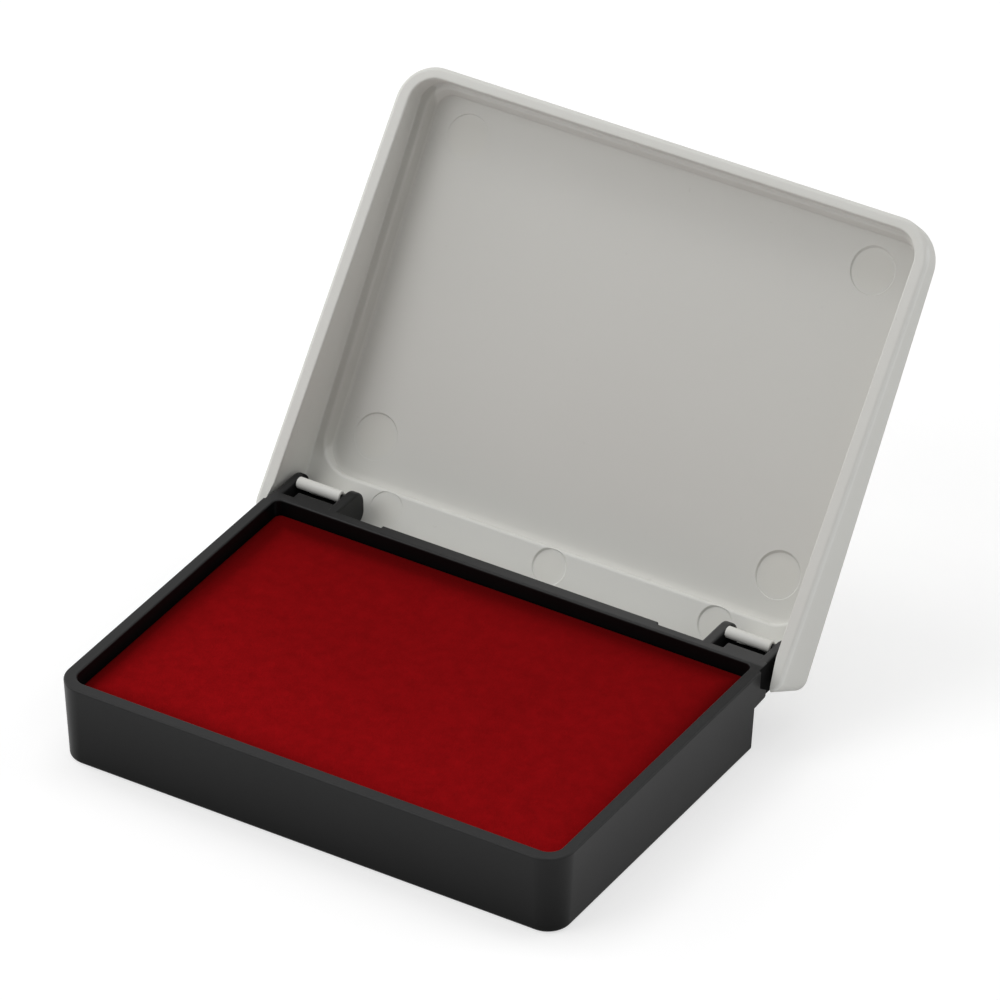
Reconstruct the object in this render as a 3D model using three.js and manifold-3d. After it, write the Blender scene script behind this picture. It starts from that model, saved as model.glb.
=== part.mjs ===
// Desk stamp pad: a black tray with an inked pad and a grey cap lid hinged at the back.
// Millimetres, X to the right, Y to the back, Z up, origin on the table under the middle of the tray.
import * as THREE from 'three';
import { mergeVertices } from 'three/addons/utils/BufferGeometryUtils.js';
import Module from 'manifold-3d';

const wasm = await Module();
wasm.setup();

// Tray, outside
const trayHalfWidth = 59;
const trayFrontReach = 38.9;
const trayRimZ = 18.4;
const trayDraft = 0.95;
const trayFrontRadius = 6;
const trayRearRadius = 1.2;
const trayFootRound = 0.8;
const trayRimRound = 0.4;
const overhangDepth = 4.3;
const overhangZ = 10.3;
const overhangRise = 0.3;
const rearStepHalfWidth = 32.7;
const rearStepDepth = 0.7;
const slotEdgeDepth = 1.9;
const slotNotchWidth = 2.5;
const slotRoot = 0.5;

// Tray, inside
const sideRim = 2.65;
const frontRim = 2.9;
const rearRim = 2.4;
const mouthRearReach = 39.9;
const mouthFrontRadius = 3.2;
const mouthRearRadius = 2.5;
const mouthChamfer = 0.3;
const mouthDraft = 0.3;
const shelfZ = 12.2;
const shelfDepth = 5.7;
const wellInset = 0.4;
const trayFloorZ = 2;

// Hinge
const hingeReach = 5.6;
const openAngle = THREE.MathUtils.degToRad(128.5);
const innerLugX = 43.2;
const innerLugThick = 2.4;
const outerLugThick = 2.1;
const cheekDepth = 0.6;
const lugReach = 4.7;
const lugTopRound = 3.3;
const lugFootRound = 2.4;
const lugRootDepth = 2;
const hingePlateReach = 1.6;
const hingePlateThick = 1.5;
const cheekLength = 3.6;
const cheekFootZ = 14.2;
const cheekSlope = 0.73;
const barInnerGap = 0.8;
const barOuterGap = 1;
const barRadius = 1.25;
const webThick = 1.8;
const stubRadius = 0.5;
const stubRoot = 0.8;
const stubReach = 1.3;
const boreClearance = 0.25;
const boreEndGap = 0.4;

// Lid, in its closed place
const lidSideClearance = 0.3;
const lidFrontClearance = 0.47;
const lidSideWall = 3.05;
const lidFrontWall = 2.4;
const lidRearWall = 2.3;
const lidRimBelowHinge = 4.04;
const lidRimRound = 0.4;
const lidRearReach = 8.9;
const lidRearLean = 1.6;
const lidFrontRadius = 8.5;
const lidRearRadius = 3.2;
const lidInnerFrontRadius = 5.8;
const lidInnerRearRadius = 1;
const lidInnerChamfer = 0.3;
const lidOuterDraft = 0.3;
const lidEdgeRound = 1.8;
const lidSkin = 1.6;
const restGap = 0.3;
const ledgeSlope = 0.0815;
const sideLedge = 2.2;
const frontLedge = 1.17;
const panelToHinge = 4.5;
const panelRadius = 7;
const panelDepth = 3.2;
const panelDraft = 0.6;
const panelSkin = 1.2;
const panelEdgeRound = 1.2;
const panelRoot = 0.6;
const windowGap = 0.8;
const windowHeadroom = 6.6;
const rearCutReach = 1.1;
const flareStart = 0.6;
const flareDepth = 1.2;

// Round moulding marks inside the lid
const markDepth = 0.2;
const floorMarkRadius = 4.9;
const floorMarkSideInset = 9.3;
const floorMarkRearInset = 9.5;
const floorMarkFrontInset = 8.1;
const ledgeMarkRadius = 3.8;
const ledgeMarkX = 39.1;
const ledgeMarkInset = 4;

// Pad insert
const padGap = 0.15;
const boardThick = 1.2;
const boardSideGap = 0.6;
const foamSideGap = 0.5;
const feltSideGap = 0.4;
const feltThick = 2.4;
const clothThick = 0.55;
const clothSideGap = 0.3;
const clothCrown = 0.35;
const clothEdgeRound = 0.4;
const crownFlat = 3.6;

// Fineness of the round stretches
const cornerSteps = 10;
const roundSteps = 4;
const circleSteps = 40;
const tinyRadius = 0.2;
const mergeReach = 1e-5;
const cutMargin = 1;

// Colours and roughness
const blackPlastic = { color: '#2c2c2c', roughness: 0.5 };
const greyPlastic = { color: '#c4c3bb', roughness: 0.55 };
const redCloth = { color: '#7b0b0f', roughness: 0.95 };
const redFelt = { color: '#6a090d', roughness: 0.95 };
const redFoam = { color: '#5a080b', roughness: 0.95 };
const greyBoard = { color: '#8f877a', roughness: 0.9 };

// Places that follow from the sizes
const trayFoot = 0;
const trayFrontY = -trayFrontReach;
const mouthRearY = mouthRearReach;
const mouthFrontY = trayFrontY + frontRim;
const wellRearY = mouthRearY - shelfDepth;
const overhangY = mouthRearY + rearRim;
const trayLowRearY = overhangY - overhangDepth;
const overhangTop = overhangZ + overhangRise;
const hingeY = overhangY + hingeReach;
const hingeZ = trayRimZ - stubRadius;
const lugRearY = hingeY + lugReach;
const innerLugEndX = innerLugX + innerLugThick;
const outerLugEndX = trayHalfWidth - cheekDepth;
const outerLugX = outerLugEndX - outerLugThick;
const barStartX = innerLugEndX + barInnerGap;
const barEndX = outerLugX - barOuterGap;
const lidRimZ = hingeZ - lidRimBelowHinge;
const lidRearY = hingeY + lidRearReach;
const lidInnerHalfWidth = trayHalfWidth + lidSideClearance;
const lidOuterHalfWidth = lidInnerHalfWidth + lidSideWall;
const lidInnerFrontY = trayFrontY - lidFrontClearance;
const lidOuterFrontY = lidInnerFrontY - lidFrontWall;
const panelHalfWidth = lidInnerHalfWidth - sideLedge;
const panelFrontY = lidInnerFrontY + frontLedge;
const panelRearY = hingeY - panelToHinge;
const windowTopZ = trayRimZ + windowHeadroom;

const fromAbove = (point) => new THREE.Vector2(point.x, point.y);
const fromTheSide = (point) => new THREE.Vector2(point.y, point.z);

// Height of the sloping ledge inside the lid, the floor of its panel and the skin outside.
const ledgeAt = (y) => trayRimZ + restGap + ledgeSlope * (y - panelFrontY);
const panelAt = (y) => ledgeAt(y) + panelDepth;
const borderAt = (y) => ledgeAt(y) + lidSkin;
const level = (z) => () => z;

function solidFrom(positions, triangles) {
  const vertProperties = new Float32Array(positions);
  const triVerts = new Uint32Array(triangles);
  return new wasm.Manifold(new wasm.Mesh({ numProp: 3, vertProperties, triVerts }));
}

function solidFromGeometry(geometry) {
  const bare = geometry.clone();
  bare.deleteAttribute('normal');
  bare.deleteAttribute('uv');
  const merged = mergeVertices(bare, mergeReach);
  return solidFrom(merged.attributes.position.array, merged.index.array);
}

// A closed skin over outlines that all have the same number of points.
function loft(outlines, flatten) {
  const count = outlines[0].length;
  const positions = outlines.flat().flatMap((point) => [point.x, point.y, point.z]);
  const triangles = [];
  for (let row = 0; row + 1 < outlines.length; row += 1) {
    for (let k = 0; k < count; k += 1) {
      const a = row * count + k;
      const b = row * count + ((k + 1) % count);
      triangles.push(a, b, b + count, a, b + count, a + count);
    }
  }
  const last = (outlines.length - 1) * count;
  for (const [a, b, c] of THREE.ShapeUtils.triangulateShape(outlines[0].map(flatten), [])) {
    triangles.push(a, c, b);
  }
  for (const [a, b, c] of THREE.ShapeUtils.triangulateShape(outlines.at(-1).map(flatten), [])) {
    triangles.push(last + a, last + b, last + c);
  }
  return solidFrom(positions, triangles);
}

// A box outline with rounded corners, drawn in by an inset, at a height that may slope.
function outline(box, inset, heightAt) {
  const corners = [
    [-box.halfWidth, box.front, box.frontRadius, 1, 1, Math.PI],
    [box.halfWidth, box.front, box.frontRadius, -1, 1, 1.5 * Math.PI],
    [box.halfWidth, box.rear, box.rearRadius, -1, -1, 0],
    [-box.halfWidth, box.rear, box.rearRadius, 1, -1, 0.5 * Math.PI],
  ];
  const points = [];
  for (const [x, y, radius, towardX, towardY, start] of corners) {
    const bend = Math.max(radius - inset, tinyRadius);
    for (let k = 0; k <= cornerSteps; k += 1) {
      const angle = start + (k / cornerSteps) * 0.5 * Math.PI;
      const px = x + towardX * (inset + bend) + bend * Math.cos(angle);
      const py = y + towardY * (inset + bend) + bend * Math.sin(angle);
      points.push(new THREE.Vector3(px, py, heightAt(py)));
    }
  }
  return points;
}

// Inset and drop along a rounded edge, from the wall to the face it turns into.
function roundEdge(radius) {
  const steps = [];
  for (let k = 0; k <= roundSteps; k += 1) {
    const angle = (k / roundSteps) * 0.5 * Math.PI;
    steps.push([radius * (1 - Math.cos(angle)), radius * (1 - Math.sin(angle))]);
  }
  return steps;
}

function block(x0, x1, y0, y1, z0, z1) {
  const geometry = new THREE.BoxGeometry(x1 - x0, y1 - y0, z1 - z0);
  geometry.translate((x0 + x1) / 2, (y0 + y1) / 2, (z0 + z1) / 2);
  return solidFromGeometry(geometry);
}

function barAlongX(x0, x1, y, z, radius) {
  const geometry = new THREE.CylinderGeometry(radius, radius, x1 - x0, circleSteps);
  geometry.rotateZ(-Math.PI / 2);
  geometry.translate((x0 + x1) / 2, y, z);
  return solidFromGeometry(geometry);
}

// A flat shape drawn in Y and Z, pulled out along X.
function plateAlongX(shape, x0, x1) {
  const points = shape.getPoints(cornerSteps);
  const ends = [x0, x1].map((x) => points.map((point) => new THREE.Vector3(x, point.x, point.y)));
  return loft(ends, fromTheSide);
}

function bothSides(makeAt) {
  const right = makeAt();
  return right.add(right.mirror([1, 0, 0]));
}

function trayBox(rear) {
  return {
    halfWidth: trayHalfWidth,
    front: trayFrontY,
    rear,
    frontRadius: trayFrontRadius,
    rearRadius: trayRearRadius,
  };
}

// Tapered tray body whose upper part overhangs the lower rear wall.
function trayBody() {
  const draftAt = (z) => trayDraft * (1 - z / trayRimZ);
  const low = trayBox(trayLowRearY);
  const high = trayBox(overhangY);
  const rows = [];
  for (const [inset, drop] of roundEdge(trayFootRound).reverse()) {
    rows.push(outline(low, draftAt(drop) + inset, level(trayFoot + drop)));
  }
  rows.push(outline(low, draftAt(overhangZ), level(overhangZ)));
  rows.push(outline(high, draftAt(overhangTop), level(overhangTop)));
  for (const [inset, drop] of roundEdge(trayRimRound)) {
    rows.push(outline(high, draftAt(trayRimZ - drop) + inset, level(trayRimZ - drop)));
  }
  return loft(rows, fromAbove);
}

function mouthBox() {
  return {
    halfWidth: trayHalfWidth - sideRim,
    front: mouthFrontY,
    rear: mouthRearY,
    frontRadius: mouthFrontRadius,
    rearRadius: mouthRearRadius,
  };
}

function wellBox() {
  return {
    halfWidth: trayHalfWidth - sideRim - mouthDraft - wellInset,
    front: mouthFrontY + mouthDraft + wellInset,
    rear: wellRearY,
    frontRadius: mouthFrontRadius,
    rearRadius: mouthRearRadius,
  };
}

function trayHollow() {
  const mouth = mouthBox();
  const flare = mouthChamfer + cutMargin;
  const upper = loft([
    outline(mouth, mouthDraft, level(shelfZ)),
    outline(mouth, 0, level(trayRimZ - mouthChamfer)),
    outline(mouth, -flare, level(trayRimZ + cutMargin)),
  ], fromAbove);
  const well = loft([
    outline(wellBox(), 0, level(trayFloorZ)),
    outline(wellBox(), 0, level(shelfZ + cutMargin)),
  ], fromAbove);
  return upper.add(well);
}

function lugShape() {
  const shape = new THREE.Shape();
  const footY = lugRearY - lugFootRound;
  const topY = lugRearY - lugTopRound;
  shape.moveTo(overhangY - lugRootDepth, overhangTop);
  shape.lineTo(footY, overhangTop);
  shape.absarc(footY, overhangTop + lugFootRound, lugFootRound, -0.5 * Math.PI, 0, false);
  shape.absarc(topY, trayRimZ - lugTopRound, lugTopRound, 0, 0.5 * Math.PI, false);
  shape.lineTo(overhangY - lugRootDepth, trayRimZ);
  return shape;
}

// Two lugs on a plate at each end of the rear rim, with a stub on each that carries the lid.
function hingeLugs() {
  const rootY = overhangY - lugRootDepth;
  const plateRearY = hingeY + hingePlateReach;
  const plateTop = overhangTop + hingePlateThick;
  return bothSides(() => plateAlongX(lugShape(), innerLugX, innerLugEndX)
    .add(plateAlongX(lugShape(), outerLugX, outerLugEndX))
    .add(block(innerLugX, outerLugEndX, rootY, plateRearY, overhangTop, plateTop))
    .add(barAlongX(innerLugEndX - stubRoot, barStartX + stubReach, hingeY, hingeZ, stubRadius))
    .add(barAlongX(barEndX - stubReach, outerLugX + stubRoot, hingeY, hingeZ, stubRadius)));
}

// Shallow cheek at each rear corner where the wall of the open lid comes down beside the tray.
function cheekCut() {
  const shape = new THREE.Shape();
  const front = overhangY - cheekLength;
  const rear = overhangY + cutMargin;
  const top = trayRimZ + cutMargin;
  shape.moveTo(front, cheekFootZ);
  shape.lineTo(rear, cheekFootZ - cheekSlope * (rear - front));
  shape.lineTo(rear, top);
  shape.lineTo(front, top);
  return bothSides(() => plateAlongX(shape, outerLugEndX, trayHalfWidth + cutMargin));
}

function rearStep() {
  const root = mouthRearY + cutMargin;
  const rear = overhangY + rearStepDepth;
  return block(-rearStepHalfWidth, rearStepHalfWidth, root, rear, overhangTop, trayRimZ);
}

// The rim runs on into both hinge slots, all but a notch at the left end of each.
function slotEdges() {
  const root = mouthRearY + cutMargin;
  const rear = overhangY + slotEdgeDepth;
  const rightStart = innerLugEndX + slotNotchWidth;
  const leftStart = slotNotchWidth - outerLugX;
  return block(rightStart, outerLugX + slotRoot, root, rear, overhangTop, trayRimZ)
    .add(block(leftStart, slotRoot - innerLugEndX, root, rear, overhangTop, trayRimZ));
}

function baseTray() {
  return trayBody()
    .add(rearStep())
    .add(slotEdges())
    .subtract(cheekCut())
    .add(hingeLugs())
    .subtract(trayHollow());
}

function lidBox(rear) {
  return {
    halfWidth: lidOuterHalfWidth,
    front: lidOuterFrontY,
    rear,
    frontRadius: lidFrontRadius,
    rearRadius: lidRearRadius,
  };
}

// Cap with a level rim and a top that climbs to the back.
function lidShell() {
  const low = lidBox(lidRearY);
  const high = lidBox(lidRearY - lidRearLean);
  const rows = [];
  for (const [inset, drop] of roundEdge(lidRimRound).reverse()) {
    rows.push(outline(low, inset, level(lidRimZ + drop)));
  }
  for (const [inset, drop] of roundEdge(lidEdgeRound)) {
    rows.push(outline(high, lidOuterDraft + inset, (y) => borderAt(y) - drop));
  }
  return loft(rows, fromAbove);
}

function panelBox() {
  return {
    halfWidth: panelHalfWidth,
    front: panelFrontY,
    rear: panelRearY,
    frontRadius: panelRadius,
    rearRadius: panelRadius,
  };
}

// Raised panel on the outside of the lid.
function lidPanel() {
  const topAt = (y) => panelAt(y) + lidSkin;
  const rows = [outline(panelBox(), -panelSkin, (y) => borderAt(y) - panelRoot)];
  for (const [inset, drop] of roundEdge(panelEdgeRound)) {
    rows.push(outline(panelBox(), panelDraft - panelSkin + inset, (y) => topAt(y) - drop));
  }
  return loft(rows, fromAbove);
}

function lidHollow() {
  const inner = {
    halfWidth: lidInnerHalfWidth,
    front: lidInnerFrontY,
    rear: lidRearY - lidRearWall,
    frontRadius: lidInnerFrontRadius,
    rearRadius: lidInnerRearRadius,
  };
  const innerTop = { ...inner, rear: inner.rear - lidRearLean };
  const flare = lidInnerChamfer + cutMargin;
  return loft([
    outline(inner, -flare, level(lidRimZ - cutMargin)),
    outline(inner, 0, level(lidRimZ + lidInnerChamfer)),
    outline(innerTop, 0, ledgeAt),
  ], fromAbove);
}

function panelHollow() {
  return loft([
    outline(panelBox(), 0, (y) => ledgeAt(y) - cutMargin),
    outline(panelBox(), 0, ledgeAt),
    outline(panelBox(), panelDraft, panelAt),
  ], fromAbove);
}

function roundMark(x, y, radius, faceAt) {
  const ringAt = (lift) => {
    const points = [];
    for (let k = 0; k < circleSteps; k += 1) {
      const angle = (k / circleSteps) * 2 * Math.PI;
      const py = y + radius * Math.sin(angle);
      points.push(new THREE.Vector3(x + radius * Math.cos(angle), py, faceAt(py) + lift));
    }
    return points;
  };
  return loft([ringAt(-cutMargin), ringAt(markDepth)], fromAbove);
}

function mouldingMarks() {
  const ledgeY = panelRearY + ledgeMarkInset;
  const rearY = panelRearY - floorMarkRearInset;
  const frontY = panelFrontY + floorMarkFrontInset;
  let marks = roundMark(0, ledgeY, ledgeMarkRadius, ledgeAt);
  for (const side of [-1, 1]) {
    const floorX = side * (panelHalfWidth - floorMarkSideInset);
    marks = marks.add(roundMark(side * ledgeMarkX, ledgeY, ledgeMarkRadius, ledgeAt));
    marks = marks.add(roundMark(floorX, rearY, floorMarkRadius, panelAt));
    marks = marks.add(roundMark(floorX, frontY, floorMarkRadius, panelAt));
  }
  return marks;
}

// The inner face of each side wall opens out to the back, past the lugs.
function sideFlare() {
  const front = hingeY + flareStart;
  const rear = lidRearY + cutMargin;
  const slope = flareDepth / (lidRearY - front);
  const corners = [
    [lidInnerHalfWidth - cutMargin, front],
    [lidInnerHalfWidth, front],
    [lidInnerHalfWidth + slope * (rear - front), rear],
    [lidInnerHalfWidth - cutMargin, rear],
  ];
  const ringAt = (z) => corners.map(([x, y]) => new THREE.Vector3(x, y, z));
  return bothSides(() => loft([ringAt(lidRimZ - cutMargin), ringAt(windowTopZ)], fromAbove));
}

// Height of the foot of the rear wall that meets the rear step of the tray when the lid is open.
function rearWallFoot() {
  const rate = lidRearLean / (borderAt(lidRearY) - lidRimZ);
  const cos = Math.cos(openAngle);
  const sin = Math.sin(openAngle);
  const stop = overhangY + rearStepDepth + restGap - hingeY;
  return (stop + hingeZ * sin - (lidRearY - hingeY + rate * lidRimZ) * cos) / (sin - rate * cos);
}

// The rear wall hangs down behind the tray as the stop of the open lid, with a window for the lugs.
function rearWallCuts() {
  const front = hingeY + rearCutReach;
  const rear = lidRearY + cutMargin;
  const foot = lidRimZ - cutMargin;
  const windowX = innerLugX - windowGap;
  const low = block(-lidInnerHalfWidth, lidInnerHalfWidth, front, rear, foot, rearWallFoot());
  return bothSides(() => block(windowX, lidInnerHalfWidth, front, rear, foot, windowTopZ)).add(low);
}

// Bar on a web that hangs from the ledge, bored at both ends for the stubs.
function hingeKnuckles() {
  const webTop = ledgeAt(hingeY) + lidSkin / 2;
  const webFront = hingeY - webThick / 2;
  const bore = stubRadius + boreClearance;
  const depth = stubReach + boreEndGap;
  return bothSides(() => barAlongX(barStartX, barEndX, hingeY, hingeZ, barRadius)
    .add(block(barStartX, barEndX, webFront, webFront + webThick, hingeZ, webTop))
    .subtract(barAlongX(barStartX - cutMargin, barStartX + depth, hingeY, hingeZ, bore))
    .subtract(barAlongX(barEndX - depth, barEndX + cutMargin, hingeY, hingeZ, bore)));
}

function lidSolid() {
  return lidShell()
    .add(lidPanel())
    .subtract(lidHollow())
    .subtract(panelHollow())
    .subtract(rearWallCuts())
    .subtract(sideFlare())
    .subtract(mouldingMarks())
    .add(hingeKnuckles())
    .translate([0, -hingeY, -hingeZ]);
}

function padLayer(box, sideGap, z0, z1) {
  return loft([outline(box, sideGap, level(z0)), outline(box, sideGap, level(z1))], fromAbove);
}

const boardZ = trayFloorZ + padGap;
const foamZ = boardZ + boardThick + padGap;
const feltZ = shelfZ + padGap;
const clothZ = feltZ + feltThick + padGap;

// Inked cloth with a rounded edge and a slight crown.
function coverCloth() {
  const box = mouthBox();
  const edge = mouthDraft + clothSideGap;
  const top = clothZ + clothThick;
  const middle = (box.rear - box.front) / 2 - edge - clothEdgeRound - crownFlat;
  const rows = [outline(box, edge, level(clothZ))];
  for (const [inset, drop] of roundEdge(clothEdgeRound)) {
    rows.push(outline(box, edge + inset, level(top - drop)));
  }
  for (let k = 1; k <= roundSteps; k += 1) {
    const share = (k / roundSteps) ** 2;
    const rise = clothCrown * (1 - (1 - share) ** 2);
    rows.push(outline(box, edge + clothEdgeRound + share * middle, level(top + rise)));
  }
  return loft(rows, fromAbove);
}

function meshOf(name, solid, look) {
  const { vertProperties, triVerts } = solid.getMesh();
  const geometry = new THREE.BufferGeometry();
  geometry.setAttribute('position', new THREE.BufferAttribute(new Float32Array(vertProperties), 3));
  geometry.setIndex(new THREE.BufferAttribute(new Uint32Array(triVerts), 1));
  const faceted = geometry.toNonIndexed();
  faceted.computeVertexNormals();
  const material = new THREE.MeshStandardMaterial({ ...look, metalness: 0 });
  const mesh = new THREE.Mesh(faceted, material);
  mesh.name = name;
  return mesh;
}

const board = padLayer(wellBox(), boardSideGap, boardZ, boardZ + boardThick);
const foam = padLayer(wellBox(), foamSideGap, foamZ, shelfZ);
const felt = padLayer(mouthBox(), mouthDraft + feltSideGap, feltZ, feltZ + feltThick);

const stampPad = new THREE.Group();
stampPad.name = 'stamp_pad';
stampPad.add(meshOf('base_tray', baseTray(), blackPlastic));
stampPad.add(meshOf('backing_board', board, greyBoard));
stampPad.add(meshOf('ink_foam', foam, redFoam));
stampPad.add(meshOf('felt_pad', felt, redFelt));
stampPad.add(meshOf('cover_cloth', coverCloth(), redCloth));

const lidTurn = new THREE.Group();
lidTurn.name = 'lid_turn';
lidTurn.position.set(0, hingeY, hingeZ);
lidTurn.rotation.x = -openAngle;
lidTurn.add(meshOf('lid', lidSolid(), greyPlastic));
stampPad.add(lidTurn);

export default stampPad;
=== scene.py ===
import math

import bpy
import numpy as np
from mathutils import Matrix, Vector


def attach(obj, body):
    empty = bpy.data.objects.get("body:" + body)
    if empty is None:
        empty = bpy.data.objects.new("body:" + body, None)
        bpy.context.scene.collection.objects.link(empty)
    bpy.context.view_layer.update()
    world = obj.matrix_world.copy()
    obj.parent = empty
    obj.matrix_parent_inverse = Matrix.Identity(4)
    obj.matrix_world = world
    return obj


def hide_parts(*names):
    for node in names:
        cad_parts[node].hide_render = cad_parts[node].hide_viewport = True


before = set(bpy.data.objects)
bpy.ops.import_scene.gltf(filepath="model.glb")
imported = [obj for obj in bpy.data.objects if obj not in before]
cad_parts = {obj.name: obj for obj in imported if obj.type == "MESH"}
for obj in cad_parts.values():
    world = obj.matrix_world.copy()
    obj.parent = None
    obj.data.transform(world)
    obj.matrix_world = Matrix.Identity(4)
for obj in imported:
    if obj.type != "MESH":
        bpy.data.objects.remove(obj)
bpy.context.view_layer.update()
mm = 0.001
print("frame loaded, nodes:", sorted(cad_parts))

# View: turned to the right of the front, looking down on the open pad
view = {
    "azimuth": 31.512,
    "elevation": 33.939,
    "roll": 0.188,
    "lens": 362.27,
    "distance": 2.0125,
    "right": 0.018547,
    "up": 0.050444,
}


def addCamera():
    turn, rise, roll = (math.radians(view[key]) for key in ("azimuth", "elevation", "roll"))
    back = Vector((math.sin(turn) * math.cos(rise), -math.cos(turn) * math.cos(rise), math.sin(rise)))
    flat = Vector((math.cos(turn), math.sin(turn), 0))
    upright = back.cross(flat)
    right = flat * math.cos(roll) + upright * math.sin(roll)
    up = upright * math.cos(roll) - flat * math.sin(roll)
    place = back * view["distance"] + right * view["right"] + up * view["up"]
    data = bpy.data.cameras.new("camera")
    data.sensor_width = 36
    data.lens = view["lens"]
    data.clip_end = 50
    camera = bpy.data.objects.new("camera", data)
    camera.matrix_world = Matrix.Translation(place) @ Matrix((right, up, back)).transposed().to_4x4()
    bpy.context.scene.collection.objects.link(camera)
    bpy.context.scene.camera = camera


# A socket's value in a material, so that shader maths reads as plain expressions
class Wire:
    def __init__(self, paint, socket):
        self.paint = paint
        self.socket = socket

    def math(self, operation, first, second):
        return self.paint.node("ShaderNodeMath", {"operation": operation}, {0: first, 1: second})

    def __add__(self, other):
        return self.math("ADD", self, other)

    def __radd__(self, other):
        return self.math("ADD", other, self)

    def __sub__(self, other):
        return self.math("SUBTRACT", self, other)

    def __rsub__(self, other):
        return self.math("SUBTRACT", other, self)

    def __mul__(self, other):
        return self.math("MULTIPLY", self, other)

    def __rmul__(self, other):
        return self.math("MULTIPLY", other, self)

    def __truediv__(self, other):
        return self.math("DIVIDE", self, other)

    def __rtruediv__(self, other):
        return self.math("DIVIDE", other, self)


class Paint:
    def __init__(self, name, tree=None):
        if tree is None:
            self.material = bpy.data.materials.new(name)
            self.material.use_nodes = True
            tree = self.material.node_tree
        self.tree = tree
        self.tree.nodes.clear()

    def feed(self, socket, value):
        if isinstance(value, Wire):
            self.tree.links.new(value.socket, socket)
        elif isinstance(value, tuple) and len(value) == 3 and socket.type == "RGBA":
            socket.default_value = (*value, 1)
        else:
            socket.default_value = value

    # settings are put on the new node first, then its sockets are filled or linked
    def node(self, kind, settings=None, sockets=None, output=0):
        made = self.tree.nodes.new(kind)
        for key, value in (settings or {}).items():
            if key == "stops":
                for element, (place, shade) in zip(made.color_ramp.elements, value):
                    element.position = place
                    element.color = (shade, shade, shade, 1)
            else:
                setattr(made, key, value)
        for key, value in (sockets or {}).items():
            self.feed(made.inputs[key], value)
        return Wire(self, made.outputs[output]) if made.outputs else None

    def place(self):
        return self.node("ShaderNodeTexCoord", output=3)

    def noise(self, place, scale, detail=2, roughness=0.5):
        sockets = {"Vector": place, "Scale": scale, "Detail": detail, "Roughness": roughness}
        return self.node("ShaderNodeTexNoise", {"noise_dimensions": "3D"}, sockets)

    def mix(self, share, first, second):
        return self.node("ShaderNodeMix", {"data_type": "RGBA"}, {0: share, 6: first, 7: second}, output=2)

    def ramp(self, value, low, high):
        return self.node("ShaderNodeValToRGB", {"stops": [(low, 0), (high, 1)]}, {0: value})

    def bump(self, height, strength, distance):
        sockets = {"Strength": strength, "Distance": distance, "Height": height}
        return self.node("ShaderNodeBump", {}, sockets)

    def absolute(self, value):
        return self.node("ShaderNodeMath", {"operation": "ABSOLUTE"}, {0: value})

    def sine(self, value):
        return self.node("ShaderNodeMath", {"operation": "SINE"}, {0: value})

    def split(self, place):
        parts = self.node("ShaderNodeSeparateXYZ", {}, {0: place}).socket.node
        return [Wire(self, socket) for socket in parts.outputs]

    def stretch(self, place, scale):
        return self.node("ShaderNodeMapping", {}, {"Vector": place, "Scale": scale})

    def along(self, place, direction):
        sockets = {0: place, 1: direction}
        return self.node("ShaderNodeVectorMath", {"operation": "DOT_PRODUCT"}, sockets, output=1)

    def distance(self, place, point):
        sockets = {0: place, 1: point}
        return self.node("ShaderNodeVectorMath", {"operation": "DISTANCE"}, sockets, output=1)

    def finish(self, sockets):
        shader = self.node("ShaderNodeBsdfPrincipled", {}, sockets)
        self.node("ShaderNodeOutputMaterial", {}, {"Surface": shader})
        return self.material


blackPlasticLook = {
    # deep is the tone of the painted shade inside the mouth, towards the foot and in the cheeks
    "deep": (0.0025, 0.0025, 0.0026),
    "dark": (0.0145, 0.0145, 0.0147),
    "pale": (0.02, 0.02, 0.0202),
    # rear is the tone of the painted highlight on the tops behind the mouth
    "rear": (0.052, 0.052, 0.052),
    "dust": (0.06, 0.06, 0.06),
    "dustShare": 0.12,
    "specular": 0.135,
    "roughness": 0.28,
    "grain": 2600,
}


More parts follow.
